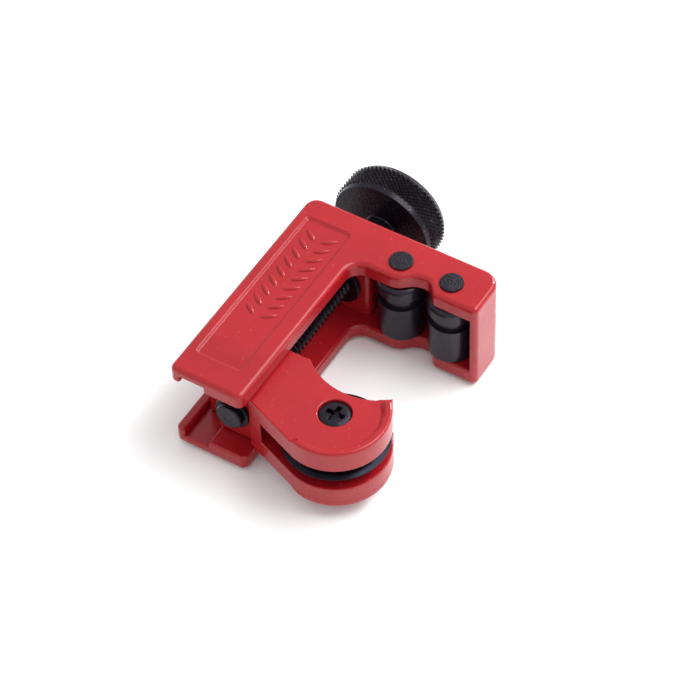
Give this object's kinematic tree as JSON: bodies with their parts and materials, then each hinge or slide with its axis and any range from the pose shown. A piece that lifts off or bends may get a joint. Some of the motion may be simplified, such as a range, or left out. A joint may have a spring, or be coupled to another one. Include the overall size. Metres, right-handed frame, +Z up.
{
  "type": "mini pipe cutter",
  "caption": "Mini pipe cutter: C-shaped die-cast frame, knurled feed screw, sliding carriage with a cutting wheel, and two pipe rollers.",
  "frame": {"origin": "middle of the base, with the tool lying on its side on its rivet heads and knob", "axes": "+X along the feed screw from the knob to the spine's open end, +Y from the spine's back to the mouth, +Z up through the frame's side"},
  "size_m": [0.0716, 0.0462, 0.0242],
  "materials": {
    "red_paint": "glossy red paint on die-cast metal",
    "black_steel": "black oxide, satin",
    "roller_steel": "black oxide, turned, semi-gloss",
    "blued_steel": "hardened steel, blued and ground"
  },
  "bodies": {
    "frame_body": {"frame": "red_paint", "roller_rivet_near": "black_steel", "roller_rivet_far": "black_steel", "thrust_washer": "black_steel"},
    "screw_body": {"feed_screw": "black_steel", "knob": "black_steel", "knob_lock_pin": "black_steel", "screw_end_ring": "black_steel"},
    "carriage_body": {"slider": "red_paint", "wheel_screw": "black_steel"},
    "wheel_body": {"cutter_wheel": "blued_steel"},
    "roller_near_body": {"roller_near": "roller_steel"},
    "roller_far_body": {"roller_far": "roller_steel"}
  },
  "joints": [
    {"name": "feed_screw_turn", "type": "hinge", "parent": "frame_body", "child": "screw_body", "pos_m": [-0.02045, -0.011, 0.0121], "axis": [1, 0, 0], "range_deg": [0, 6121]},
    {"name": "carriage_slide", "type": "slide", "parent": "frame_body", "child": "carriage_body", "axis": [1, 0, 0], "range_m": [-0.02159, 0]},
    {"name": "cutter_wheel_spin", "type": "hinge", "parent": "carriage_body", "child": "wheel_body", "pos_m": [0.02445, 0.0102, 0.0121], "axis": [0, 0, 1], "continuous": true},
    {"name": "roller_near_spin", "type": "hinge", "parent": "frame_body", "child": "roller_near_body", "pos_m": [-0.01345, 0.003, 0.0121], "axis": [0, 0, 1], "continuous": true},
    {"name": "roller_far_spin", "type": "hinge", "parent": "frame_body", "child": "roller_far_body", "pos_m": [-0.01345, 0.0149, 0.0121], "axis": [0, 0, 1], "continuous": true}
  ],
  "couplings": [
    {"joint": "feed_screw_turn", "follows": "carriage_slide", "rad_per_m": -4947.4}
  ]
}
